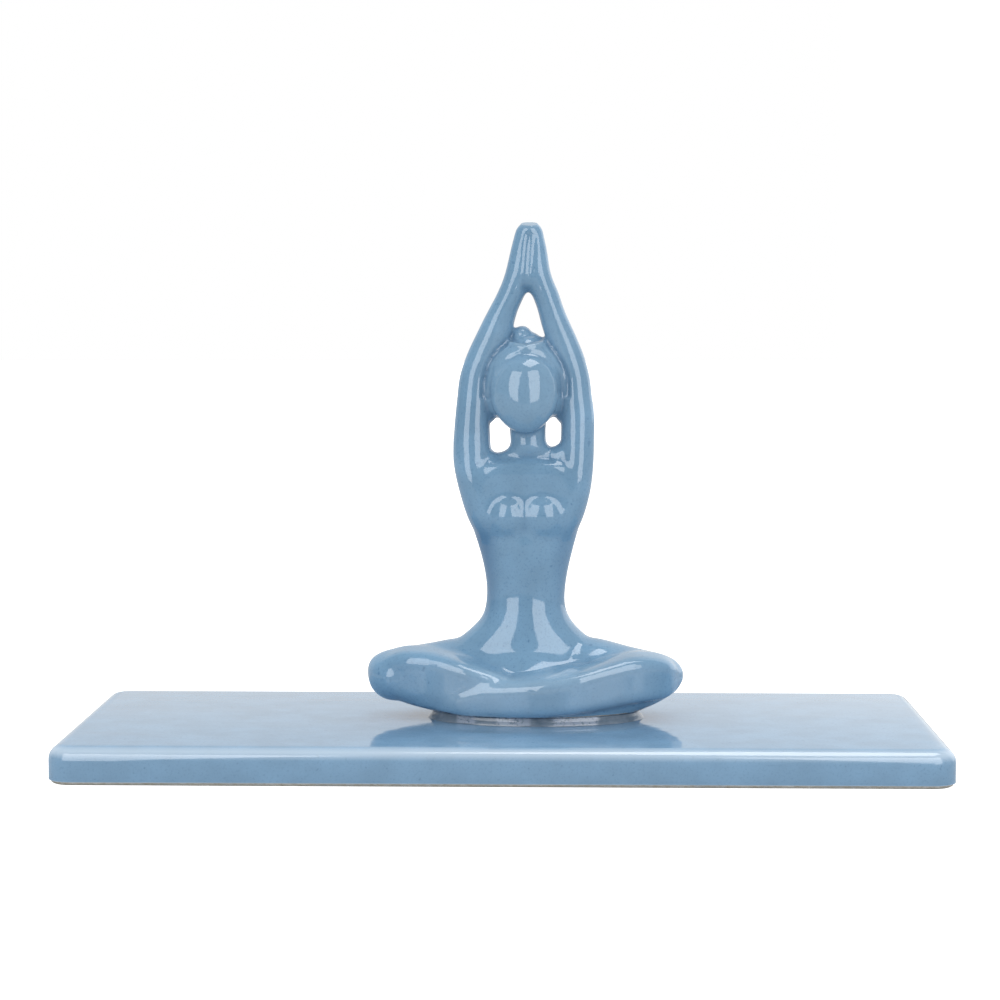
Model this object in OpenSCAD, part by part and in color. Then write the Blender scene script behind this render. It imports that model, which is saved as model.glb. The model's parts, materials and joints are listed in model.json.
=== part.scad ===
// Incense stick holder: a slip-cast seated yoga figure, bonded to a glazed stoneware plate.
// The stick stands in a blind hole between the figure's fingertips, and the plate catches the ash.
// Millimetres, +Z up, +X along the plate, -Y towards the front. The origin is on the surface that
// the plate stands on, under the plate's centre.

/* [Plate] */
// Length of the plate, left to right
plate_w = 240; // [200:5:300]
// Depth of the plate, front to back
plate_d = 100; // [84:1:140]
// Thickness of the plate
plate_t = 10.2; // [7:0.1:14]
// Radius of the plate's corners, seen from above
plate_corner_r = 6.5; // [5:0.5:20]
// Rounding of the plate's top edge
plate_top_r = 3.8; // [1:0.2:4.6]
// Rounding of the plate's bottom edge
plate_foot_r = 1.2; // [0.8:0.2:2]
// Height of the bare clay band around the plate's foot
plate_bare_h = 1; // [0.6:0.1:2]

/* [Figure] */
// Height of the figure, from its foot to the fingertips
figure_h = 137.3; // [110:0.1:180]
// Span from knee to knee
knee_span = 88.6; // [74:0.2:110]
// Depth of the crossed legs, shins to seat
lap_depth = 43; // [36:1:52]
// Distance of the figure's axis to the right of the plate's centre
figure_x = 5.8; // [-40:0.1:40]
// Distance of the figure's axis behind the plate's centre
figure_y = 5.5; // [-10:0.5:18]
// Wall of the hollow casting, glaze included
wall_t = 3.2; // [2.4:0.1:4]
// Width of the flat foot ring under the legs
foot_ring_w = 6; // [4:0.5:8]
// Height of the bare clay band around the figure's foot
figure_bare_h = 0.8; // [0.5:0.1:2.5]

/* [Stick hole] */
// Radius of the hole that holds the incense stick
stick_r = 1.25; // [1:0.05:1.5]
// Depth of the hole below the fingertips
stick_depth = 14; // [8:1:16]

/* [Glaze and adhesive] */
// Thickness of the fired glaze
glaze_t = 0.4; // [0.3:0.05:0.6]
// Gap between plate and foot, filled by the adhesive
bond_t = 1.8; // [0.6:0.1:2.4]
// Width of the adhesive squeezed out around the foot
squeeze_w = 1.2; // [0.6:0.1:2]

/* [Hidden] */

glaze_blue = [0.42, 0.58, 0.70];
bare_clay = [0.85, 0.82, 0.75];
clear_grey = [0.72, 0.75, 0.78];

cut = 1;             // how far a cutting solid reaches past what it cuts
rim_w = 1.2;         // flat rim around the stick hole, glaze included

// The figure is drawn this wide, deep and high, and stretched to its own sizes from there.
// Values called drawn below are in these units.
drawn = [91, 44, 142];
stretch = [knee_span / drawn.x, lap_depth / drawn.y, figure_h / drawn.z];

gap_steps = 2;       // rings for each gap between two stations
sway_w = 0.8;        // drawn distance that the figure leans to the left, halfway up
sway_z = 115;        // drawn height at which it is upright again
tip_base_z = 138;    // drawn height at which the fingertips start to close
tip_half = [4.1, 3.4];    // drawn half width and half depth of the fingertips there
tip_taper = 0.88;    // share of that width left two thirds of the way up
hollow_top_z = 66;   // drawn height of the hollow's top
foot_z = 9;          // drawn height up to which the foot reaches into the lap
foot_hollow_z = 7;   // drawn height of the opening in the foot

knee_turn = 82;      // sections of the lap are spaced by the sine of this angle
knee_power = 6;      // how late the lap's sections start to close towards the knees
knee_close = 0.95;   // how nearly the last one closes
lap_y = -2;          // drawn distance of the lap's middle line behind the axis
lap_z = 9.6;         // drawn height of the lap's middle line
lap_rise = 2;        // how much higher that line is at the knees
lap_half = [19, 9.1];     // drawn half depth and half height of the lap at its middle
lap_taper = 0.3;     // share of its depth lost at the knees

foot_half = [30 * stretch.x, 17 * stretch.y];
foot_centre = [3, -3 * stretch.y];

// ---- Smooth sections -------------------------------------------------------------------------

// One step of a Catmull-Rom curve between b and c
function between(a, b, c, d, t) =
    b + (c - a) * t / 2 + (2 * a - 5 * b + 4 * c - d) * t * t / 2
    + (3 * b - a - 3 * c + d) * t * t * t / 2;

// A list of stations, with steps - 1 more worked out in each gap
function smoothed(s, steps) = [
    for (i = [0 : len(s) - 2], k = [0 : steps - 1])
        between(s[max(i - 1, 0)], s[i], s[i + 1], s[min(i + 2, len(s) - 1)], k / steps),
    s[len(s) - 1]
];

// A value held at least inset inside both ends of a run
function held(value, first, last, inset) = min(max(value, first + inset), last - inset);

// A level ring around a station [x, y, z, half across, half deep], made smaller by inset
function level_ring(s, inset, sides) = [
    for (k = [0 : sides - 1])
        [s[0] + (s[3] - inset) * cos(360 * k / sides), s[1] + (s[4] - inset) * sin(360 * k / sides), s[2]]
];

// An upright ring, square to X, around a station [x, y, z, half deep, half high]
function upright_ring(s, inset, sides) = [
    for (k = [0 : sides - 1])
        [s[0], s[1] + (s[3] - inset) * cos(360 * k / sides), s[2] + (s[4] - inset) * sin(360 * k / sides)]
];

// A closed skin over rings of the same number of points
module skin(rings) {
    n = len(rings[0]);
    last = len(rings) - 1;
    sides = [
        for (i = [0 : last - 1], k = [0 : n - 1])
            each [[i * n + k, (i + 1) * n + k, i * n + (k + 1) % n],
                  [(i + 1) * n + k, (i + 1) * n + (k + 1) % n, i * n + (k + 1) % n]]
    ];
    caps = [[for (k = [0 : n - 1]) k], [for (k = [n - 1 : -1 : 0]) last * n + k]];
    polyhedron(points = [for (r = rings) each r], faces = concat(sides, caps));
}

// A station stretched to the figure's own sizes: place and both half sizes
function stretched_level(s) = [
    s[0] * stretch.x, s[1] * stretch.y, s[2] * stretch.z, s[3] * stretch.x, s[4] * stretch.y
];

// A closed skin over level rings, whose two ends move in with its sides
module level_skin(stations, inset, sides) {
    run = [for (s = smoothed(stations, gap_steps)) stretched_level(s)];
    first = run[0].z;
    last = run[len(run) - 1].z;
    skin([
        for (s = run) level_ring([s[0], s[1], held(s[2], first, last, inset), s[3], s[4]], inset, sides)
    ]);
}

// The same over upright rings, in a run along X
module upright_skin(run, inset, sides) {
    first = run[0].x;
    last = run[len(run) - 1].x;
    skin([
        for (s = run) upright_ring([held(s[0], first, last, inset), s[1], s[2], s[3], s[4]], inset, sides)
    ]);
}

// An ellipsoid at a place on the figure, made smaller by inset
module rounded(place, half, inset, sides) {
    at = [place.x * stretch.x, place.y * stretch.y, place.z * stretch.z];
    size = [half.x * stretch.x - inset, half.y * stretch.y - inset, half.z * stretch.z - inset];
    translate(at) scale(size) sphere(r = 1, $fn = sides);
}

// The hand-made figure leans a little: to the left at the elbows, to the right at the fingertips
function sway(z) = -sway_w * sin(180 * z / sway_z);

// ---- The figure's form, made smaller by inset ------------------------------------------------

torso_stations = [
    [0, 1, 3, 26, 13], [0, 1, 14, 23.5, 13], [0, 2, 19.5, 19.6, 12], [0, 2.5, 24, 15, 10.4],
    [0, 2.5, 30, 11.5, 8.8], [0, 2, 38, 11.5, 8.4], [0, 1.5, 49, 14.2, 9],
    [0, 1, 59, 17.2, 9.4], [0, 1, 66, 16.6, 8], [0, 1, 71, 11.5, 6.5], [0, 1, 74, 6, 4.5]
];

module torso(inset) {
    level_skin(torso_stations, inset, sides = 24);
    for (side = [-1, 1]) rounded([side * 4.6, -5.4, 56], [5, 4.6, 5.6], inset, sides = 14);
}

neck_stations = [[0, 1, 66, 10, 5], [0, 0.5, 71.5, 8, 5.6], [-0.3, 0, 76, 5.4, 5.2], [-0.3, 0, 86, 5.4, 5.4]];

module neck(inset) {
    level_skin(neck_stations, inset, sides = 14);
}

// One raised arm, from the ribs up past the head to the fingertips
arm_stations = [
    [9.2, 1.5, 49, 4.6, 5.5], [11.8, 1.5, 58, 5, 5.8], [14.5, 1.5, 67, 5.2, 5.6],
    [15.6, 1.5, 77, 4.9, 5], [15.5, 1.2, 85, 4.6, 4.7], [14.3, 1, 97, 4.4, 4.5],
    [10.1, 0.6, 110, 4.3, 4.4], [6.2, 0.2, 118.5, 4.1, 4.3], [3.5, 0, 125.5, 4.1, 4.2],
    [2.5, 0, 131, 3.6, 4], [1.9, 0, 137, 2.9, 3.4], [1.2, 0, 140.2, 2.2, 2.7]
];

module arm(side, inset) {
    swayed = [for (s = arm_stations) [side * s[0] + sway(s[2]), s[1], s[2], s[3], s[4]]];
    level_skin(swayed, inset, sides = 12);
}

// The fingertips close around the stick hole in a short rounded cone with a flat top
module fingertips(inset) {
    top = figure_h - inset;
    base = stretched_level([sway(tip_base_z), 0, tip_base_z, tip_half.x, tip_half.y]);
    middle = (base.z + 2 * top) / 3;
    skin([
        level_ring(base, inset, sides = 20),
        level_ring([base.x, 0, middle, base[3] * tip_taper, base[4] * tip_taper], inset, sides = 20),
        level_ring([base.x, 0, top, stick_r + rim_w, stick_r + rim_w], inset, sides = 20)
    ]);
}

module head(inset) {
    rounded([-0.3, 1.5, 97.5], [12.4, 11.4, 12.4], inset, sides = 22);    // hair
    rounded([-0.3, -3.4, 93], [9.8, 9.6, 11.4], inset, sides = 20);       // face, left plain
    rounded([0.2, 2, 108.5], [4.3, 4.3, 3.7], inset, sides = 14);         // bun
}

// Seat and thighs: a cushion shape whose sections shrink towards both knees
function lap_section(turn) =
    let (along = sin(turn) / sin(knee_turn), shrink = sqrt(1 - knee_close * pow(abs(along), knee_power)))
    [along * knee_span / 2, lap_y * stretch.y, (lap_z + lap_rise * along * along) * stretch.z,
     lap_half[0] * stretch.y * shrink * (1 - lap_taper * along * along), lap_half[1] * stretch.z * shrink];

module lap(inset) {
    run = [for (turn = [-knee_turn : knee_turn / 4 : knee_turn]) lap_section(turn)];
    upright_skin(run, inset, sides = 18);
}

// A shin from its knee to its foot, with a rounded end at each
right_shin_stations = [
    [-24, -15, 6.6, 4.4, 4], [-20, -15.6, 7, 6.8, 5.8], [-12, -16, 7.4, 7.6, 6.6], [4, -14.6, 8, 8, 7],
    [20, -12, 8.8, 8, 7.4], [35, -7, 10, 7.5, 7.2], [42, -4, 11, 5, 5.2]
];
left_shin_stations = [
    [-42, -3, 11, 5, 5.5], [-36, -6, 10.6, 7.6, 7.2], [-22, -9, 10.4, 8.4, 7.6], [0, -10, 9.6, 8, 6.8]
];

module shin(stations, inset) {
    run = [
        for (s = smoothed(stations, gap_steps))
            [s[0] * stretch.x, s[1] * stretch.y, s[2] * stretch.z, s[3] * stretch.y, s[4] * stretch.z]
    ];
    upright_skin(run, inset, sides = 14);
}

// The flat foot that the legs stand on
module foot(inset, height) {
    translate([foot_centre.x, foot_centre.y, 0])
        scale([foot_half.x - inset, foot_half.y - inset, 1]) cylinder(r = 1, h = height, $fn = 48);
}

module figure_form(inset) {
    intersection() {
        union() {
            torso(inset);
            neck(inset);
            for (side = [-1, 1]) arm(side, inset);
            fingertips(inset);
            head(inset);
            lap(inset);
            shin(right_shin_stations, inset);
            shin(left_shin_stations, inset);
            foot(inset, foot_z * stretch.z);
        }
        translate([0, 0, figure_h / 2]) cube([2 * knee_span, 2 * knee_span, figure_h], center = true);
    }
}

// The hollow left by the slip casting: torso and seat, open through the foot ring
module figure_hollow() {
    union() {
        intersection() {
            level_skin(torso_stations, wall_t, sides = 20);
            translate([-knee_span / 2, -knee_span / 2, 0])
                cube([knee_span, knee_span, hollow_top_z * stretch.z]);
        }
        lap(wall_t);
        translate([0, 0, -cut]) foot(foot_ring_w, foot_hollow_z * stretch.z + cut);
    }
}

module stick_hole() {
    translate([sway(tip_base_z) * stretch.x, 0, figure_h - stick_depth])
        cylinder(r = stick_r, h = stick_depth + cut, $fn = 48);
}

module on_plate() {
    translate([figure_x, figure_y, plate_t + bond_t]) children();
}

// resize() keeps the exact height, which the sampled rings could miss by a hair
module figure_body() {
    color(bare_clay) on_plate() difference() {
        resize([0, 0, figure_h - glaze_t]) difference() {
            figure_form(glaze_t);
            figure_hollow();
        }
        stick_hole();
    }
}

module figure_glaze() {
    color(glaze_blue) on_plate() difference() {
        resize([0, 0, figure_h - figure_bare_h]) difference() {
            figure_form(0);
            figure_form(glaze_t);
            translate([0, 0, figure_bare_h / 2 - cut])
                cube([2 * knee_span, 2 * knee_span, figure_bare_h + 2 * cut], center = true);
        }
        stick_hole();
    }
}

// ---- Plate -----------------------------------------------------------------------------------

// Half of the plate's upright section beyond the corner radius, made smaller by inset
module edge_section(inset) {
    reach = plate_corner_r - inset;
    top = plate_t - inset;
    round_r = plate_top_r - inset;
    difference() {
        square([reach, top]);
        difference() {
            translate([reach - round_r, top - round_r]) square([round_r + cut, round_r + cut]);
            translate([reach - round_r, top - round_r]) circle(r = round_r, $fn = 48);
        }
        difference() {
            translate([reach - plate_foot_r, -cut]) square([plate_foot_r + cut, plate_foot_r + cut]);
            translate([reach - plate_foot_r, plate_foot_r]) circle(r = plate_foot_r, $fn = 48);
        }
    }
}

// The plate's whole slab: a block, four straight edges and four turned corners
module slab(inset) {
    run = [plate_w - 2 * plate_corner_r, plate_d - 2 * plate_corner_r];
    union() {
        translate([-run.x / 2, -run.y / 2, 0]) cube([run.x, run.y, plate_t - inset]);
        for (side = [0, 1]) rotate(180 * side) {
            translate([-run.x / 2, -run.y / 2, 0]) rotate([90, 0, 90]) mirror([1, 0, 0])
                linear_extrude(height = run.x) edge_section(inset);
            translate([run.x / 2, run.y / 2, 0]) rotate([90, 0, 0])
                linear_extrude(height = run.y) edge_section(inset);
            translate([run.x / 2, run.y / 2, 0]) rotate_extrude(angle = 90, $fn = 64) edge_section(inset);
            translate([run.x / 2, -run.y / 2, 0]) rotate([0, 0, -90])
                rotate_extrude(angle = 90, $fn = 64) edge_section(inset);
        }
    }
}

module plate_body() {
    color(bare_clay) slab(glaze_t);
}

module plate_glaze() {
    color(glaze_blue) difference() {
        slab(0);
        slab(glaze_t);
        translate([0, 0, plate_bare_h / 2 - cut])
            cube([2 * plate_w, 2 * plate_d, plate_bare_h + 2 * cut], center = true);
    }
}

// ---- Adhesive --------------------------------------------------------------------------------

// A pad of clear adhesive between plate and foot, squeezed out all round
module adhesive_bead() {
    color(clear_grey) translate([figure_x + foot_centre.x, figure_y + foot_centre.y, plate_t])
        scale([foot_half.x + squeeze_w, foot_half.y + squeeze_w, 1]) cylinder(r = 1, h = bond_t, $fn = 96);
}

plate_body();
plate_glaze();
figure_body();
figure_glaze();
adhesive_bead();
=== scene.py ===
"""Looks of an incense stick holder: a glazed seated figure, raised hands joined over its head, bonded
to a glazed plate. Metres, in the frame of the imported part: +X along the plate, -Y to the front, +Z up."""
import json
import math

import bpy
import numpy as np
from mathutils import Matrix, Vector


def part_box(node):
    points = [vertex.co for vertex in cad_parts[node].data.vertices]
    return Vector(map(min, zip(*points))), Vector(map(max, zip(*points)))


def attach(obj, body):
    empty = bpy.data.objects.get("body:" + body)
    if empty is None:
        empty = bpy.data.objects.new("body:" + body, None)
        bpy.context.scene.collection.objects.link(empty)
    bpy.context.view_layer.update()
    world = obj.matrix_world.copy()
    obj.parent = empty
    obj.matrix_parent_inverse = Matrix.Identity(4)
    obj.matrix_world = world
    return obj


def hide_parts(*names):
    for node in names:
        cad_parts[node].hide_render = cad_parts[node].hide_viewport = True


MM = 0.001
SCENE = bpy.context.scene

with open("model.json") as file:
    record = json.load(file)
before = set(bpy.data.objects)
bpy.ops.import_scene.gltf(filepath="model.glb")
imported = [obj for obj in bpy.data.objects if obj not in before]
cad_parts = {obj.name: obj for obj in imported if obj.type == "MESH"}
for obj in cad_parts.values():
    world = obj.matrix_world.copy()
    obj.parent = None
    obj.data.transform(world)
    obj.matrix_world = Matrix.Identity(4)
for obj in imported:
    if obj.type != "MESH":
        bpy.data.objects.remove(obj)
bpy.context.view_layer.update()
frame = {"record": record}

plate_low, plate_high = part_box("plate_glaze")
clay_low, clay_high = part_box("plate_body")
figure_low, figure_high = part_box("figure_glaze")
stick_hole = next(m for m in frame["record"]["mounts"] if m["name"] == "stick_hole")

GLAZE = plate_high.z - clay_high.z
CORNER_R = 6.5 * MM                             # the plate's corners, seen from above
TOP_R = 3.8 * MM                                # the rounding around the plate's top
PLATE_FOOT_R = 1.2 * MM
STICK_R = stick_hole["dims"]["r_mm"] * MM
STICK_DEPTH = stick_hole["dims"]["length_mm"] * MM
STICK_X, STICK_Y = stick_hole["pos_m"][:2]
RIM_R = 1.8 * MM
RIM_LEAN = math.radians(14)
RIM_DROP = 0.05 * MM                            # the rim's back edge lies this far under the top

# The figure is drawn in mm from its axis: 91 from knee to knee, 40.6 deep and 142 high
DRAWN = Vector((91, 40.6, 142))
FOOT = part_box("adhesive_bead")[1].z             # the adhesive lifts the figure's foot to here
AXIS = Vector(((figure_low.x + figure_high.x) / 2, STICK_Y, FOOT))
STRETCH = Vector(((figure_high.x - figure_low.x) / DRAWN.x, (figure_high.y - figure_low.y) / DRAWN.y,
                  (figure_high.z - FOOT) / DRAWN.z))
BODY_VOXEL = 0.8 * MM
HEAD_VOXEL = 0.45 * MM


def on_figure(x, y, z):
    return AXIS + Vector((x * STRETCH.x, y * STRETCH.y, z * STRETCH.z))


# ---- Modelling ------------------------------------------------------------------------------

def deselect():
    if bpy.context.object and bpy.context.object.mode != "OBJECT":
        bpy.ops.object.mode_set(mode="OBJECT")
    for o in bpy.context.selected_objects:
        o.select_set(False)
    bpy.context.view_layer.objects.active = None


def pick(*objects):
    deselect()
    for o in objects:
        o.select_set(True)
    bpy.context.view_layer.objects.active = objects[0]


def named(name):
    o = bpy.context.object
    o.name = name
    o.data.name = name
    return o


def cut(o, height, at_y=0, rise=0, keep_above=True):
    """Cuts off what lies past a plane at a height, and closes the cut. The plane rises to the back
    by an angle, and has its height at at_y."""
    pick(o)
    bpy.ops.object.mode_set(mode="EDIT")
    bpy.ops.mesh.select_all(action="SELECT")
    bpy.ops.mesh.bisect(plane_co=(0, at_y, height), plane_no=(0, -math.sin(rise), math.cos(rise)),
                        use_fill=True, clear_inner=keep_above, clear_outer=not keep_above)
    bpy.ops.object.mode_set(mode="OBJECT")


def put_down(o):
    """The object goes to the origin, unturned and unscaled, and its place goes into its mesh."""
    pick(o)
    bpy.ops.object.transform_apply(location=True, rotation=True, scale=True)
    return o


def modify(o, kind, **settings):
    """Adds a modifier with its settings and applies it."""
    pick(o)
    m = o.modifiers.new(kind.title(), kind)
    for key, value in settings.items():
        setattr(m, key, value)
    bpy.ops.object.modifier_apply(modifier=m.name)


def between(a, b, c, d, t):
    """One step of a smooth curve through stations a, b, c and d, a share t of the way from b to c."""
    return (b + (c - a) * t / 2 + (2 * a - 5 * b + 4 * c - d) * t * t / 2
            + (3 * b - a - 3 * c + d) * t ** 3 / 2)


def smoothed(stations, steps):
    """The stations, with steps - 1 more between each two."""
    s = [np.array(x, float) for x in stations]
    last = len(s) - 1
    run = [between(s[max(i - 1, 0)], s[i], s[i + 1], s[min(i + 2, last)], k / steps)
           for i in range(last) for k in range(steps)]
    return run + [s[last]]


# The hand-made figure leans a little: height, and how far to the right its middle line is there
LEAN = [(0, 0), (30, -0.1), (46, 0.1), (62, 0), (78, -0.4), (92, -0.3), (104, 0), (114, 0.2),
        (121, 0.7), (132, 0.9), (142, 1.2)]


def lean(z):
    """How far the figure's middle line is to the right at a height."""
    return float(np.interp(z, [a for a, _ in LEAN], [b for _, b in LEAN]))


def drawn_out(name, stations, sides=32, steps=3, along_x=False, leans=False, squared=0, tip=0):
    """A closed form drawn out ring by ring through stations (x, y, z, half width, half depth), or
    (x, y, z, half depth, half height) where the rings stand square to X. A squared ring has
    corners rounded by that share of its half width, and is tipped about X by tip degrees."""
    run = smoothed(stations, steps)
    deselect()
    if squared:
        bpy.ops.mesh.primitive_plane_add(size=2)
        bpy.ops.object.mode_set(mode="EDIT")
        bpy.ops.mesh.select_all(action="SELECT")
        bpy.ops.mesh.bevel(offset=squared, segments=8, affect="VERTICES")
        bpy.ops.mesh.select_all(action="SELECT")
        bpy.ops.transform.rotate(value=math.radians(tip), orient_axis="Z", center_override=(0, 0, 0))
    else:
        bpy.ops.mesh.primitive_circle_add(vertices=sides, radius=1, fill_type="NGON")
        bpy.ops.object.mode_set(mode="EDIT")
        bpy.ops.mesh.select_all(action="SELECT")
    if along_x:
        bpy.ops.transform.rotate(value=math.pi / 2, orient_axis="Y", center_override=(0, 0, 0))
    reach = (STRETCH.y, STRETCH.z) if along_x else (STRETCH.x, STRETCH.y)
    here, size = None, (1, 1)
    for s in run:
        there = on_figure(s[0] + (lean(s[2]) if leans else 0), s[1], s[2])
        new_size = (s[3] * reach[0], s[4] * reach[1])
        grow = (new_size[0] / size[0], new_size[1] / size[1])
        if here is None:
            bpy.ops.transform.translate(value=there)
        else:
            bpy.ops.mesh.extrude_region_move(TRANSFORM_OT_translate={"value": there - here})
        bpy.ops.transform.resize(value=(1, *grow) if along_x else (*grow, 1), center_override=there)
        here, size = there, new_size
    bpy.ops.mesh.select_all(action="SELECT")
    bpy.ops.mesh.normals_make_consistent(inside=False)
    bpy.ops.object.mode_set(mode="OBJECT")
    return named(name)


def ball(name, place, half):
    """An egg form at a place on the figure, with its half width, half depth and half height."""
    deselect()
    bpy.ops.mesh.primitive_uv_sphere_add(segments=48, ring_count=24, radius=1, location=on_figure(*place))
    o = named(name)
    o.scale = Vector((half[0] * STRETCH.x, half[1] * STRETCH.y, half[2] * STRETCH.z))
    return put_down(o)


# ---- Figure ---------------------------------------------------------------------------------

# Each station: x, y, z, half width, half depth. The seat is low and broad, with the foot under it
SEAT = [
    (3.3, -2.8, -3, 29.6, 16.8), (3.3, -2.8, -1, 29.6, 16.8), (3.2, -2.7, 0.4, 30.4, 17),
    (1.6, -1.8, 2.2, 36.6, 17.4), (0.9, -1.2, 4.6, 41.4, 17.4), (0.8, -0.6, 7.4, 43.4, 16.2),
    (0.1, 0, 10.2, 44.6, 13.6),
    (-0.2, 0.8, 12.4, 42, 11.2), (-0.4, 1.2, 13.6, 36, 9),
]
# Belly, waist, ribs, shoulders and neck
TORSO = [
    (0, 1.2, 10, 19, 14.4), (0, 1.2, 12.6, 20, 14.2), (0, 1.4, 14.6, 21, 13),
    (-0.1, 1.6, 16.6, 21.4, 11.8), (-0.1, 1.9, 18.6, 20.8, 10.8), (-0.1, 2.1, 21, 18.6, 10.4),
    (0, 2.3, 23.6, 15.6, 10), (0.2, 2.5, 27, 12.7, 9.5), (0.2, 2.6, 31, 11.5, 9),
    (0.3, 2.4, 36, 11.5, 8.5), (0.3, 2, 42, 12.4, 8.4), (0.2, 1.7, 48, 13.9, 8.4),
    (0.1, 1.4, 54, 15.7, 7.7), (0.1, 1.4, 59, 16.4, 6.8), (0.2, 1.4, 66, 16, 5.8),
    (0.3, 1.2, 70.5, 14.4, 5.4), (0.5, 0.9, 73, 12.8, 5), (1.1, 0.8, 74.6, 10.8, 4.2),
    (1.6, 0.6, 75.8, 7.2, 5), (1.5, 0.2, 77.4, 5.5, 5), (1.2, 0.2, 80, 5.2, 4.7), (1, 0.3, 86, 5.6, 4.6),
]
# The chest is a soft slab with a flat front, whose sides end inside the arms
CHEST = [
    (0, 1.2, 52, 13.6, 6.2), (0, 1, 57, 15, 6.1), (0, 1, 62, 15.4, 6.4), (0.2, 1, 67, 15, 6.8),
    (0.3, 1, 70.6, 13, 6.9), (0.6, 0.9, 72.8, 9.6, 6.2),
]
LEFT_ARM = [
    (-9.6, 1.1, 50, 3.6, 5.2), (-11.7, 0.4, 55, 4.6, 6), (-13.6, 0, 63, 5.2, 6.2),
    (-14.8, 0, 71, 5.6, 5.5), (-15, 0, 77, 5.5, 4.9), (-14.9, 0.1, 85, 5.1, 4.7), (-14.4, 0.3, 91.5, 5, 4.6),
    (-13.9, 0.5, 97.5, 4.9, 4.5), (-11.6, 0.6, 104, 5.2, 4.4), (-8.85, 0.5, 110.6, 5, 4.2),
    (-6.7, 0.2, 116.7, 4.3, 4.2), (-4.4, 0, 122.2, 4.1, 4.1), (-2.9, 0, 127.4, 3.8, 4),
    (-2.1, 0, 133, 3.4, 3.7), (-1.6, 0, 137.2, 3, 3.3), (-1.1, 0, 139.6, 2.3, 2.7),
]
RIGHT_ARM = [
    (9.8, 1.1, 50, 3.6, 5.2), (11.8, 0.4, 55, 4.6, 6), (14, 0, 64, 5, 6.2), (15.1, 0, 72, 5, 5.5),
    (15.5, 0, 79, 4.9, 4.9), (15.5, 0.1, 86, 4.9, 4.7), (14.9, 0.3, 92, 4.7, 4.6),
    (14.2, 0.5, 97.5, 4.6, 4.5),
    (12.1, 0.6, 104, 4.7, 4.4), (9.35, 0.5, 110.8, 4.45, 4.2), (7, 0.2, 116.7, 3.9, 4.2),
    (4.7, 0, 122.2, 4, 4.1), (2.9, 0, 127.4, 3.7, 4), (2.1, 0, 133, 3.5, 3.7), (1.6, 0, 137.2, 3, 3.3),
    (1.1, 0, 139.6, 2.3, 2.7),
]
PALMS = [
    (0, -0.3, 123.6, 2.4, 3.4), (0, -0.3, 125.2, 3.6, 3.9), (0, -0.3, 128, 4.6, 4),
    (0, -0.2, 133, 4.8, 3.9), (0, 0, 137, 4.2, 3.5),
]
FINGERTIPS = [
    (0, 0, 126, 3, 3), (0, 0, 130, 4, 3.6), (0, 0, 134, 4.6, 3.8), (0, 0, 137, 4.5, 3.6),
    (0, 0, 139, 4.2, 3.4), (0, 0, 140.6, 3.5, 2.9), (0, 0, 141.8, 2.2, 2), (0, 0, 143, 1, 1),
]
HAIR = [
    (0.2, 2.4, 83.8, 5.4, 6), (0.2, 2.2, 85.3, 7.8, 8), (0.1, 2, 87, 10.8, 9.4), (0, 1.9, 89.6, 12.2, 10.2),
    (-0.1, 1.8, 94, 12.7, 10.6), (-0.1, 1.8, 99, 12.3, 10.4), (0, 1.8, 103.4, 10.7, 9.6),
    (0.3, 1.9, 106.6, 8, 7.6), (0.6, 2, 108.6, 4.6, 4.8), (0.6, 2, 109.4, 1.8, 2),
]
FACE = [
    (0.5, -6, 81.4, 1.8, 2), (0.4, -5.6, 82.4, 4.2, 4.4), (0.3, -5, 84.8, 6.8, 6.6),
    (0.2, -4.4, 88, 8.9, 8.3), (0.1, -3.8, 91.6, 10, 9), (0, -3.4, 95.3, 10.2, 9.2),
    (0.1, -2.9, 99.1, 9.4, 8.8), (0.2, -2.1, 102.3, 7.4, 7.4), (0.3, -1.5, 104.4, 4, 4.7),
]
# These stations run along X: x, y, z, half depth, half height
LEFT_THIGH = [
    (-45.7, -1.8, 11.2, 1.4, 1.4), (-44.6, -2.2, 10.8, 4.6, 4.3), (-41.6, -2.6, 10.4, 7.8, 6.7),
    (-37, -2.4, 10.4, 9.6, 7.8), (-27.5, -0.6, 11.3, 10, 8.2), (-21, 0.6, 11.4, 10.4, 9.2),
    (-14, 1, 11, 10.6, 9.6), (-8, 1.4, 11, 10, 8.6),
]
RIGHT_THIGH = [
    (8, 1.4, 11, 10, 8.6), (14, 1, 11, 10.6, 9.6), (20, 0.4, 11.4, 10.6, 9.6), (25, 0, 11.3, 10.2, 8.7),
    (30, -0.8, 11, 9.8, 7.7), (35, -1.8, 10.5, 9.6, 7.2), (39.8, -2.4, 10.2, 8.6, 6.4),
    (43.6, -2.2, 10.2, 5.6, 4.7), (45.9, -1.8, 10.4, 1.6, 1.6),
]
LEFT_SHIN = [
    (-43, -3.4, 11.6, 3.4, 3.2), (-40.4, -4.4, 11.5, 5.4, 5.2), (-35.4, -5.8, 11.6, 6.4, 7),
    (-28, -8, 11.4, 6.8, 7.4), (-21, -10.6, 10.6, 7, 6.9), (-14, -12.4, 9.4, 6.8, 5.8),
    (-6, -12.4, 7.6, 6.4, 4.8), (0, -11.6, 6, 5, 4),
]
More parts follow.
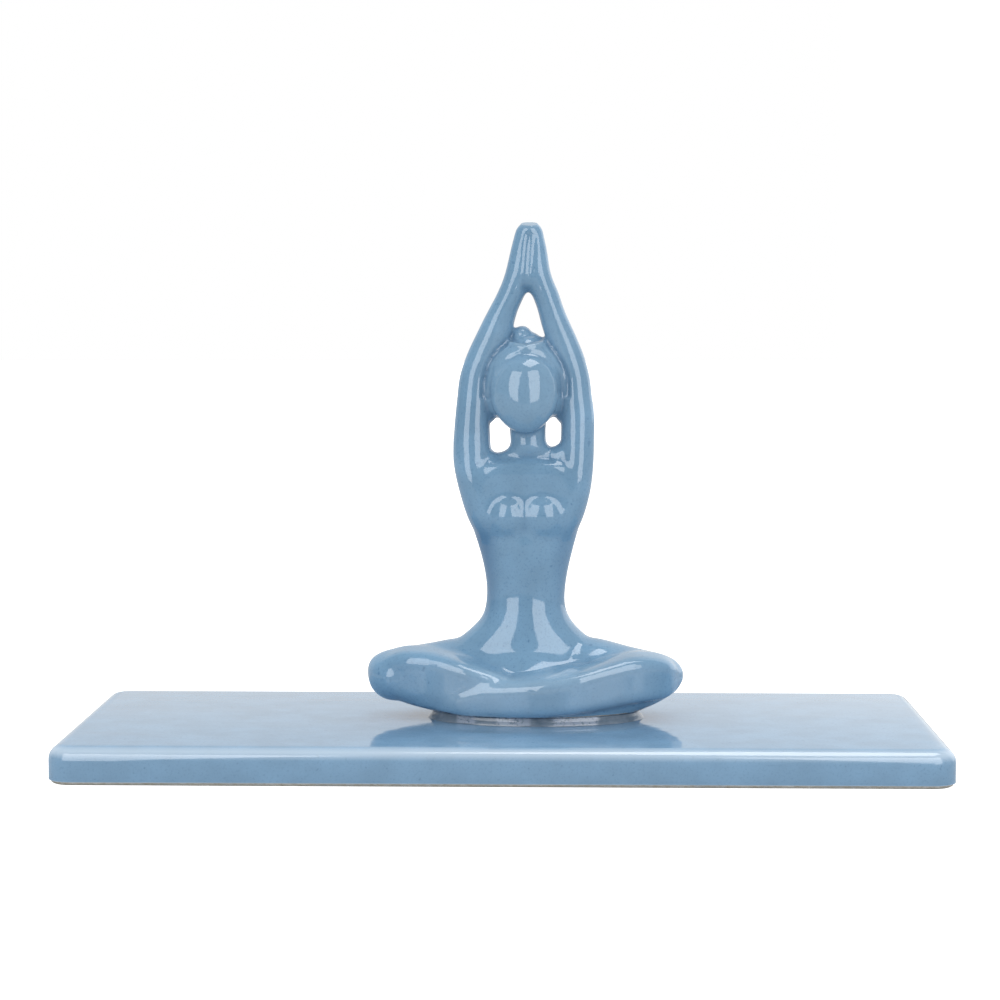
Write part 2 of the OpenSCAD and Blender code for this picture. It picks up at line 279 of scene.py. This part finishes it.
RIGHT_SHIN = [
    (-26.6, -10.6, 3.2, 1, 1), (-24.6, -11.2, 3.4, 3, 2), (-20.6, -12.6, 3.8, 4.8, 2.8),
    (-16.4, -13.6, 4.4, 5.4, 4), (-12, -14.6, 5.3, 5.7, 5), (-5, -16, 5.8, 6, 5.3),
    (4, -17.2, 6.4, 6.2, 5.6), (12, -16.6, 7.5, 6.6, 6), (18, -15.4, 8.6, 6.8, 6.3),
    (24, -13.2, 9.8, 6.8, 6.6), (31, -10.4, 11, 6.8, 6.8), (37, -8.2, 11, 6.4, 6.4),
    (41.6, -6.2, 10.6, 5.2, 5.3), (44, -4.8, 10.4, 2.6, 2.8),
]
TUCKED_FOOT = [
    (-7, -11.6, 8.8, 2, 1.6), (0, -12, 9.9, 3.4, 2.2), (7, -11.6, 11, 3.8, 2.4),
    (15, -10.6, 12.2, 3.4, 2.3), (23, -9.4, 13, 2.2, 1.5),
]
CHEST_CORNERS = 0.3
SHIN_CORNERS = 0.45
SHIN_TIP = 6

body = [
    drawn_out("figure_glaze", SEAT, sides=72),
    drawn_out("torso", TORSO, sides=64, leans=True),
    drawn_out("chest", CHEST, leans=True, squared=CHEST_CORNERS),
    drawn_out("left_arm", LEFT_ARM, leans=True),
    drawn_out("right_arm", RIGHT_ARM, leans=True),
    drawn_out("palms", PALMS, leans=True),
    drawn_out("left_thigh", LEFT_THIGH, along_x=True),
    drawn_out("right_thigh", RIGHT_THIGH, along_x=True),
    drawn_out("left_shin", LEFT_SHIN, along_x=True, squared=SHIN_CORNERS, tip=SHIN_TIP),
    drawn_out("right_shin", RIGHT_SHIN, along_x=True, squared=SHIN_CORNERS, tip=SHIN_TIP),
    drawn_out("tucked_foot", TUCKED_FOOT, along_x=True),
    ball("left_breast", (-4.7, -2.6, 56.8), (6.4, 5.7, 7.1)),
    ball("right_breast", (4.9, -2.6, 56.8), (7.2, 5.7, 7.1)),
    ball("left_shoulder", (-10.7, 0.6, 72.8), (3.4, 4.4, 3.2)),
    ball("right_shoulder", (10.2, 0.6, 74.4), (3.6, 4.4, 3.2)),
]
head = [
    drawn_out("fingertips", FINGERTIPS, leans=True),
    drawn_out("hair", HAIR, sides=48, leans=True),
    drawn_out("face", FACE, sides=48, leans=True),
    ball("left_hair_side", (-11.4, 1.6, 87.1), (3.4, 3.6, 3.6)),
    ball("right_hair_side", (12, 1.6, 86.8), (3.4, 3.6, 3.6)),
    ball("bun", (-0.9, 1.4, 109.2), (2.9, 3.2, 2.9)),
    ball("bun_knot", (1.6, 1.2, 108.2), (2.8, 3, 2)),
]


def per_vertex(o, what):
    """The vertices' places ("co") or normals ("normal"), one row each."""
    flat = np.empty(len(o.data.vertices) * 3)
    o.data.vertices.foreach_get(what, flat)
    return flat.reshape(-1, 3)


def places(o):
    """The vertices' places on the figure, in drawn mm."""
    return (per_vertex(o, "co") - np.array(AXIS)) / np.array(STRETCH)


def weigh(o, name, weights):
    group = o.vertex_groups.new(name=name)
    for i in np.flatnonzero(weights > 0.01):
        group.add([int(i)], float(weights[i]), "REPLACE")


def ramp(value, low, high):
    return np.clip((value - low) / (high - low), 0, 1)


SIDE_FADE = 3
ANYWHERE = 1000


def rub_down(o, low, high, fade, times, weight=1, in_to=-SIDE_FADE, out_to=ANYWHERE, front=ANYWHERE):
    """Smooths the forms' joins between two heights, from in_to to out_to on both sides of the
    middle, and in front of the y called front. It fades out over some mm at each."""
    x, y, z = places(o).T
    weights = weight * ramp(z, low - fade, low) * ramp(z, high + fade, high)
    weights *= ramp(abs(x), in_to, in_to + SIDE_FADE) * ramp(abs(x), out_to + SIDE_FADE, out_to)
    weights *= ramp(y, front + SIDE_FADE, front)
    weigh(o, "rubbed_down", weights)
    modify(o, "SMOOTH", factor=0.5, iterations=times, vertex_group="rubbed_down")
    o.vertex_groups.clear()


def carve(o, line, width, depth, front=0):
    """A groove along a line of (x, z) on the side that faces the front, or a bead if depth is negative."""
    p = places(o)
    far = np.full(len(p), 1e9)
    for (ax, az), (bx, bz) in zip(line, line[1:]):
        along = np.array((bx - ax, bz - az))
        off = p[:, (0, 2)] - (ax, az)
        t = np.clip(off @ along / (along @ along), 0, 1)
        far = np.minimum(far, np.linalg.norm(off - t[:, None] * along, axis=1))
    weights = np.clip(1 - (far / width) ** 2, 0, 1) ** 2
    weights[p[:, 1] > front] = 0
    weigh(o, "groove", weights)
    modify(o, "DISPLACE", strength=-depth * MM, mid_level=0, vertex_group="groove")
    o.vertex_groups.clear()


pick(*body)
bpy.ops.object.join()
figure = bpy.context.object
modify(figure, "REMESH", mode="VOXEL", voxel_size=BODY_VOXEL)

# The joins on the chest, beside the arms, around the belly, on the legs and in the lap are rubbed down
rub_down(figure, 48, 72, fade=3, times=11, out_to=12, front=0)
rub_down(figure, 52, 68, fade=4, times=24, in_to=8, out_to=15, front=-1)
rub_down(figure, 17, 26, fade=4, times=14)
rub_down(figure, 2, 18, fade=2, times=6, weight=0.6)
rub_down(figure, 10, 17, fade=3, times=10, out_to=15, front=-4)

pick(figure, *head)
bpy.ops.object.join()
modify(figure, "REMESH", mode="VOXEL", voxel_size=HEAD_VOXEL)
rub_down(figure, 2, 122, fade=2, times=8)
rub_down(figure, 124, 141, fade=1.5, times=40)

# Hairline, the edge of the hair against the arms, the hair band and the folded hands
HAIRLINE = [(-10, 91.5), (-9.7, 94), (-8.7, 97.5), (-7.1, 99.9), (-5.1, 102), (-1.9, 104), (0.9, 104.5),
            (4.3, 103.8), (7.6, 100.8), (9.6, 97), (10.3, 93)]
LEFT_HAIR_EDGE = [(-12, 92), (-11.8, 96.5), (-10.8, 100.8), (-9.4, 103.2), (-8, 105), (-5.4, 107.2)]
RIGHT_HAIR_EDGE = [(12.2, 92), (12.2, 96.5), (11.6, 99), (10.6, 101.4), (9.2, 103.7), (6.8, 106.8)]
HAIR_BAND_TOP = [(-4, 108.2), (0.3, 107.3), (4.6, 108.2)]
HAIR_BAND = [(-4.2, 107), (0.3, 106), (4.8, 107)]
BETWEEN_HANDS = [(0.9, 138), (0.4, 134), (0.1, 129.5), (-0.3, 123)]
BETWEEN_FINGERS = [(2.7, 138), (2.5, 134), (2.3, 130.4), (1.9, 127.5)]
carve(figure, HAIRLINE, width=1.4, depth=0.38)
carve(figure, LEFT_HAIR_EDGE, width=1.1, depth=0.6, front=3)
carve(figure, RIGHT_HAIR_EDGE, width=1.1, depth=0.6, front=3)
carve(figure, [(x + 1.5, z - 0.6) for x, z in LEFT_HAIR_EDGE], width=0.9, depth=0.3)
carve(figure, [(x - 1.5, z - 0.6) for x, z in RIGHT_HAIR_EDGE], width=0.9, depth=0.3)
carve(figure, HAIR_BAND_TOP, width=0.9, depth=0.5)
carve(figure, HAIR_BAND, width=0.8, depth=-0.4)
carve(figure, BETWEEN_HANDS, width=1.5, depth=0.5)
carve(figure, BETWEEN_FINGERS, width=1.3, depth=0.35)
rub_down(figure, 80, 139, fade=1, times=4)

# The glaze ends above the bare clay of the foot, and the rim around the stick hole leans forward a little
cut(figure, figure_low.z)
cut(figure, figure_high.z - RIM_DROP, at_y=STICK_Y + RIM_R, rise=RIM_LEAN, keep_above=False)

deselect()
bpy.ops.mesh.primitive_cylinder_add(
    vertices=48, radius=STICK_R, depth=2 * STICK_DEPTH, location=(STICK_X, STICK_Y, figure_high.z))
drill = named("drill")
put_down(drill)
modify(figure, "BOOLEAN", object=drill, operation="DIFFERENCE", solver="MANIFOLD")
bpy.data.objects.remove(drill)

# Bare clay shows as a thin line between the figure's glaze and the adhesive
CLAY_FOOT = [
    (3.3, -2.8, 0.01, 28.9, 16.2), (3.3, -2.8, 0.3, 29.2, 16.5), (3.2, -2.8, 1.4, 29.4, 16.6),
    (3.2, -2.8, 3, 27, 14),
]
figure_clay = drawn_out("figure_clay", CLAY_FOOT, sides=72)

# ---- Adhesive -------------------------------------------------------------------------------

# Squeezed out from under the foot, and widest on the plate
SQUEEZED_OUT = [
    (3.2, -2.8, -1.84, 31.3, 17.9), (3.2, -2.8, -1.3, 30.9, 17.6), (3.2, -2.8, -0.6, 30.3, 17.1),
    (3.2, -2.8, 0.3, 29.9, 16.9), (3.2, -2.8, 0.5, 29.4, 16.5),
]
adhesive = drawn_out("adhesive", SQUEEZED_OUT, sides=384)

# ---- Plate ----------------------------------------------------------------------------------

def slab(name, low, high, corner, top, foot):
    """A slab between two corners of its box, with rounded corners, top edge and foot edge."""
    deselect()
    bpy.ops.mesh.primitive_cube_add(size=1, location=(low + high) / 2)
    o = named(name)
    o.scale = high - low
    put_down(o)

    def bevel(chosen, width, segments):
        pick(o)
        bpy.ops.object.mode_set(mode="EDIT")
        bpy.ops.mesh.select_mode(type="EDGE")
        bpy.ops.mesh.select_all(action="DESELECT")
        bpy.ops.object.mode_set(mode="OBJECT")
        for e in o.data.edges:
            a, b = (o.data.vertices[v].co for v in e.vertices)
            e.select = chosen(a, b)
        bpy.ops.object.mode_set(mode="EDIT")
        bpy.ops.mesh.bevel(offset=width, segments=segments, affect="EDGES")
        bpy.ops.object.mode_set(mode="OBJECT")

    near = 0.01 * MM
    bevel(lambda a, b: abs(a.z - b.z) > near, corner, 16)
    bevel(lambda a, b: min(a.z, b.z) > high.z - near, top, 8)
    bevel(lambda a, b: max(a.z, b.z) < low.z + near, foot, 6)
    return o


# The glaze ends above the plate's foot, where the clay is bare
plate = slab("plate_glaze", Vector((plate_low.x, plate_low.y, 0)), plate_high,
             CORNER_R, TOP_R, PLATE_FOOT_R)
cut(plate, plate_low.z)
plate_clay = slab("plate_clay", clay_low, clay_high, CORNER_R - GLAZE, TOP_R - GLAZE, PLATE_FOOT_R)

# ---- Finishes -------------------------------------------------------------------------------

def new_material(name):
    m = bpy.data.materials.new(name)
    m.use_nodes = True
    return m, m.node_tree.nodes, m.node_tree.links, m.node_tree.nodes["Principled BSDF"]


def noise(nodes, links, source, scale, detail, roughness=0.5, stretch=(1, 1, 1)):
    """Noise in the object's own space, features per metre given by scale."""
    mapping = nodes.new("ShaderNodeMapping")
    mapping.inputs["Scale"].default_value = stretch
    links.new(source, mapping.inputs["Vector"])
    n = nodes.new("ShaderNodeTexNoise")
    n.inputs["Scale"].default_value = scale
    n.inputs["Detail"].default_value = detail
    n.inputs["Roughness"].default_value = roughness
    links.new(mapping.outputs[0], n.inputs["Vector"])
    return n.outputs[0]


def spread(nodes, links, value, low, high, to_low=0.0, to_high=1.0):
    """A value's range from low to high, stretched to run from to_low to to_high."""
    r = nodes.new("ShaderNodeMapRange")
    r.inputs["From Min"].default_value = low
    r.inputs["From Max"].default_value = high
    r.inputs["To Min"].default_value = to_low
    r.inputs["To Max"].default_value = to_high
    links.new(value, r.inputs["Value"])
    return r.outputs[0]


def reckon(nodes, links, operation, *values):
    """A sum worked out from numbers and from other nodes' outputs."""
    n = nodes.new("ShaderNodeMath")
    n.operation = operation
    for socket, value in zip(n.inputs, values):
        if isinstance(value, (int, float)):
            socket.default_value = value
        else:
            links.new(value, socket)
    return n.outputs[0]


def blend(nodes, links, share, a, b):
    """Mixes colour a towards colour b; each is a colour or the output of another node."""
    mix = nodes.new("ShaderNodeMix")
    mix.data_type = "RGBA"
    links.new(share, mix.inputs["Factor"])
    for socket, colour in ((mix.inputs[6], a), (mix.inputs[7], b)):
        if isinstance(colour, tuple):
            socket.default_value = (*colour, 1)
        else:
            links.new(colour, socket)
    return mix.outputs[2]


# Features per metre
CLOUDS = 90
WAVES = 60
SPECKS = 700
GLAZE_GRAIN = 1500
CLAY_GRAIN = 900
CLAY_STAINS = 60
ADHESIVE_CLOUDS = 300
RAGGED_EDGES = 1200


def glaze_finish(name, wave_stretch, wave_height, deep, mid, pale):
    """Fired glaze in soft clouds, with a fine grain and specks, deeper where it pooled and paler
    where it ran thin. The same deeper colour also carries painted shade, and the paler one painted light.
    Its surface has long low waves."""
    m, nodes, links, shader = new_material(name)
    place = nodes.new("ShaderNodeTexCoord").outputs["Object"]
    cloud = spread(nodes, links, noise(nodes, links, place, CLOUDS, 3), 0.35, 0.65)
    colour = blend(nodes, links, cloud, mid, tuple(c * 1.16 for c in mid))
    grain = spread(nodes, links, noise(nodes, links, place, GLAZE_GRAIN, 2, 0.7), 0.52, 0.7, 0, 0.35)
    colour = blend(nodes, links, grain, colour, deep)
    speck = spread(nodes, links, noise(nodes, links, place, SPECKS, 1), 0.7, 0.76, 0, 0.5)
    colour = blend(nodes, links, speck, colour, deep)
    # Deeper where glaze pooled in creases, and painted shade beside the ribs
    pooled_and_shaded = nodes.new("ShaderNodeAttribute")
    pooled_and_shaded.attribute_name = "pooled_glaze_and_painted_shade"
    colour = blend(nodes, links, pooled_and_shaded.outputs["Fac"], colour, deep)
    # Paler where glaze ran thin on turns, and painted light over the head and the front shins
    thin_and_lit = nodes.new("ShaderNodeAttribute")
    thin_and_lit.attribute_name = "thin_glaze_and_painted_light"
    colour = blend(nodes, links, thin_and_lit.outputs["Fac"], colour, pale)
    links.new(colour, shader.inputs["Base Color"])
    links.new(spread(nodes, links, cloud, 0, 1, 0.05, 0.09), shader.inputs["Roughness"])
    shader.inputs["IOR"].default_value = 1.5
    bump = nodes.new("ShaderNodeBump")
    bump.inputs["Distance"].default_value = wave_height
    links.new(noise(nodes, links, place, WAVES, 2, 0.4, wave_stretch), bump.inputs["Height"])
    links.new(bump.outputs[0], shader.inputs["Normal"])
    return m


figure_glaze = glaze_finish("blue_glaze", wave_stretch=(1, 1, 1), wave_height=0.12 * MM,
                            deep=(0.085, 0.19, 0.33), mid=(0.165, 0.3, 0.44), pale=(0.4, 0.52, 0.62))
plate_glaze = glaze_finish("plate_blue_glaze", wave_stretch=(0.35, 1.6, 1), wave_height=0.1 * MM,
                           deep=(0.1, 0.21, 0.34), mid=(0.175, 0.31, 0.46), pale=(0.55, 0.66, 0.77))


def clay_finish():
    """Unglazed clay, dry and grainy, stained here and there."""
    m, nodes, links, shader = new_material("bare_clay")
    place = nodes.new("ShaderNodeTexCoord").outputs["Object"]
    grain = spread(nodes, links, noise(nodes, links, place, CLAY_GRAIN, 4), 0.35, 0.7)
    stain = spread(nodes, links, noise(nodes, links, place, CLAY_STAINS, 2), 0.4, 0.6)
    pale, stained, sandy = (0.56, 0.56, 0.53), (0.46, 0.48, 0.48), (0.4, 0.38, 0.32)
    colour = blend(nodes, links, stain, pale, stained)
    colour = blend(nodes, links, grain, colour, sandy)
    links.new(colour, shader.inputs["Base Color"])
    shader.inputs["Roughness"].default_value = 0.85
    bump = nodes.new("ShaderNodeBump")
    bump.inputs["Distance"].default_value = 0.05 * MM
    links.new(grain, bump.inputs["Height"])
    links.new(bump.outputs[0], shader.inputs["Normal"])
    return m


clay = clay_finish()


def adhesive_finish():
    """Clear set adhesive, cloudy, with painted highlights: white patches with ragged edges where the lamps'
    reflections fall.
    """
    m, nodes, links, shader = new_material("clear_adhesive")
    place = nodes.new("ShaderNodeTexCoord").outputs["Object"]
    cloud = spread(nodes, links, noise(nodes, links, place, ADHESIVE_CLOUDS, 2), 0.35, 0.65)
    # white is the colour of the painted highlights
    deep, cloudy, white = (0.13, 0.18, 0.235), (0.2, 0.255, 0.32), (0.34, 0.4, 0.49)
    colour = blend(nodes, links, cloud, deep, cloudy)
    # Painted highlights: mixed towards white where the lamps' reflections lie, with ragged edges
    painted_highlight = nodes.new("ShaderNodeAttribute")
    painted_highlight.attribute_name = "painted_highlight"
    rough_edge = spread(nodes, links, noise(nodes, links, place, RAGGED_EDGES, 2), 0.3, 0.5)
    ragged_highlight = reckon(nodes, links, "MULTIPLY", painted_highlight.outputs["Fac"], rough_edge)
    colour = blend(nodes, links, ragged_highlight, colour, white)
    links.new(colour, shader.inputs["Base Color"])
    shader.inputs["Roughness"].default_value = 0.1
    shader.inputs["IOR"].default_value = 1.45
    return m


adhesive_look = adhesive_finish()


def curvature(o, spreads):
    """How sharply each vertex's surroundings bend, outward above 0, per mm."""
    co = per_vertex(o, "co")
    normal = per_vertex(o, "normal")
    ends = np.empty(len(o.data.edges) * 2, int)
    o.data.edges.foreach_get("vertices", ends)
    a, b = ends.reshape(-1, 2).T
    step = co[a] - co[b]
    bend = ((normal[a] - normal[b]) * step).sum(1) / np.maximum((step * step).sum(1), 1e-12) * MM
    count = np.maximum(np.bincount(a, minlength=len(co)) + np.bincount(b, minlength=len(co)), 1)
    value = (np.bincount(a, bend, len(co)) + np.bincount(b, bend, len(co))) / count
    for _ in range(spreads):
        around = np.bincount(a, value[b], len(co)) + np.bincount(b, value[a], len(co))
        value = (value + around / count) / 2
    return value


def paint(o, name, values):
    """Keeps a share per vertex, which a finish reads by its name."""
    layer = o.data.attributes.new(name, "FLOAT", "POINT")
    layer.data.foreach_set("value", np.clip(values, 0, 1).astype(np.float32))


# Glaze runs thin over sharp turns. Painted light makes the glaze paler over the head and the front shin
THIN_ON_TURNS = 0.7
PAINTED_LIGHT_ON_HEAD = 0.08
PAINTED_LIGHT_ON_SHIN = 0.25
THIN_ON_PLATE_EDGE = 0.75
# It pools in creases. Painted shade makes it deeper beside the ribs, more on the left
POOLED_IN_CREASES = 0.7
PAINTED_SHADE_LEFT = 0.8
PAINTED_SHADE_RIGHT = 0.35
bend = curvature(figure, 6)
x, y, z = places(figure).T
painted_light_over_head = ramp(abs(x), 15, 12) * ramp(z, 76, 86) * ramp(z, 114, 108)
painted_light_over_shin = ramp(y, -13, -17) * ramp(z, 17, 13) * ramp(z, 2, 5)
painted_shade_by_ribs = ramp(z, 24, 34) * ramp(z, 57, 51) * ramp(abs(x), 7, 11) * ramp(abs(x), 17, 14) * ramp(y, 2, -1)
on_turns = ramp(bend, 0.25, 0.75)
in_creases = ramp(-bend, 0.04, 0.4)
# Thin glaze on turns, plus painted light on the head and the front shin
paint(figure, "thin_glaze_and_painted_light",
      THIN_ON_TURNS * on_turns + PAINTED_LIGHT_ON_HEAD * painted_light_over_head + PAINTED_LIGHT_ON_SHIN * painted_light_over_shin)
# Pooled glaze in creases, plus painted shade beside the ribs
paint(figure, "pooled_glaze_and_painted_shade",
      POOLED_IN_CREASES * in_creases + painted_shade_by_ribs * np.where(x < 0, PAINTED_SHADE_LEFT, PAINTED_SHADE_RIGHT))

# On the plate it is thinnest halfway round its top edge, where the surface is turned by 45 degrees
upward = per_vertex(plate, "normal")[:, 2] ** 2
paint(plate, "thin_glaze_and_painted_light", THIN_ON_PLATE_EDGE * 4 * upward * (1 - upward))
paint(plate, "pooled_glaze_and_painted_shade", np.zeros(len(upward)))

# Painted highlights lie on the adhesive in three patches along its front: middle and half width in drawn mm.
# They end a little above the plate
PAINTED_HIGHLIGHT_PATCHES = [(-16.6, 2.6), (-3, 4.8), (14.6, 6.4)]
PATCH_EDGE = 0.4
PATCH_FRONT = -8
PATCH_FOOT = -1.6
x, y, z = places(adhesive).T
in_highlight_patch = np.maximum.reduce([
    ramp(abs(x - middle), half + PATCH_EDGE, half - PATCH_EDGE) for middle, half in PAINTED_HIGHLIGHT_PATCHES])
paint(adhesive, "painted_highlight", np.where((y < PATCH_FRONT) & (z > PATCH_FOOT), in_highlight_patch, 0))


SHARP = math.radians(40)                        # turns sharper than this stay crisp


def dress(o, material, slot, *nodes):
    """Gives a piece its finish, and the place of the frame's nodes that it stands for."""
    o.data.materials.clear()
    o.data.materials.append(material)
    pick(o)
    bpy.ops.object.shade_smooth_by_angle(angle=SHARP)
    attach(o, "root")
    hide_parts(*nodes)


dress(figure, figure_glaze, "blue_glaze", "figure_glaze")
dress(figure_clay, clay, "bare_clay", "figure_body")
dress(adhesive, adhesive_look, "clear_adhesive", "adhesive_bead")
dress(plate, plate_glaze, "blue_glaze", "plate_glaze")
dress(plate_clay, clay, "bare_clay", "plate_body")

# ---- Studio ---------------------------------------------------------------------------------

FLOOR_SIZE = 6
deselect()
bpy.ops.mesh.primitive_plane_add(size=FLOOR_SIZE, location=(0, FLOOR_SIZE / 4, 0))
floor = put_down(named("floor"))
white, nodes, links, shader = new_material("white_floor")
shader.inputs["Base Color"].default_value = (0.6, 0.6, 0.6, 1)
shader.inputs["Roughness"].default_value = 0.9
# The camera sees the floor pure white, like the surround
shader.inputs["Emission Color"].default_value = (1, 1, 1, 1)
camera_ray = nodes.new("ShaderNodeLightPath").outputs["Is Camera Ray"]
links.new(camera_ray, shader.inputs["Emission Strength"])
floor.data.materials.append(white)

SUBJECT = Vector((0, 0, 0.07))                  # the lamps are aimed at the figure's middle


def softbox(name, turn, rise, distance, width, height, radiance):
    """A rectangular lamp that faces the object from turn degrees right of the camera's side, and
    rise degrees up. Radiance is in units of the white surround."""
    around, up = math.radians(turn), math.radians(rise)
    way = Vector((math.sin(around) * math.cos(up), -math.cos(around) * math.cos(up), math.sin(up)))
    deselect()
    bpy.ops.object.light_add(type="AREA", location=SUBJECT + way * distance)
    o = bpy.context.object
    o.name = name
    o.rotation_euler = way.to_track_quat("Z", "Y").to_euler()
    o.data.shape = "RECTANGLE"
    o.data.size, o.data.size_y = width, height
    o.data.energy = radiance * math.pi * width * height
    o.visible_diffuse = False


softbox("left_softbox", turn=-31, rise=23.6, distance=1.1, width=0.62, height=1.0, radiance=4.5)
softbox("right_softbox", turn=32, rise=23.6, distance=1.1, width=0.66, height=1.0, radiance=4.5)
softbox("top_softbox", turn=60, rise=76, distance=1.0, width=0.6, height=0.46, radiance=6)

# A white surround behind the object and a darker room in front of it. Both are brighter to the
# sides, and more so to the right. Matt surfaces are lit evenly from all round
ROOM = 0.25
SURROUND = 0.86
TO_SIDES = 0.7
TO_RIGHT = 0.8
EVEN_LIGHT = 1.22
world = bpy.data.worlds.new("studio")
SCENE.world = world
world.use_nodes = True
nodes, links = world.node_tree.nodes, world.node_tree.links
way = nodes.new("ShaderNodeSeparateXYZ")
links.new(nodes.new("ShaderNodeTexCoord").outputs["Generated"], way.inputs[0])
ray = nodes.new("ShaderNodeLightPath")
to_back = spread(nodes, links, way.outputs["Y"], 0.3, 0.42, ROOM, SURROUND)
across = reckon(nodes, links, "MULTIPLY_ADD", way.outputs["X"], TO_RIGHT, 1.0)
across = reckon(nodes, links, "MULTIPLY_ADD", reckon(nodes, links, "ABSOLUTE", way.outputs["X"]),
                TO_SIDES, across)
mirrored = reckon(nodes, links, "MULTIPLY", across, to_back)
even = reckon(nodes, links, "MULTIPLY", ray.outputs["Is Diffuse Ray"], EVEN_LIGHT)
strength = reckon(nodes, links, "MAXIMUM", mirrored, even)
strength = reckon(nodes, links, "MAXIMUM", strength, ray.outputs["Is Camera Ray"])
background = nodes["Background"]
background.inputs["Color"].default_value = (1, 1, 1, 1)
links.new(strength, background.inputs["Strength"])

SCENE.view_settings.view_transform = "Standard"

SENSOR = 36
LENS = 89.9856
CAMERA_PLACE = (0.01539, -0.6968, 0.12756)
CAMERA_TURN = math.radians(1.359)
CAMERA_PITCH = math.radians(4.576)
deselect()
bpy.ops.object.camera_add()
camera = bpy.context.object
camera.data.sensor_width = SENSOR
camera.data.lens = LENS
camera.data.clip_end = 20
camera.location = CAMERA_PLACE
camera.rotation_euler = (math.pi / 2 - CAMERA_PITCH, 0, CAMERA_TURN)
SCENE.camera = camera
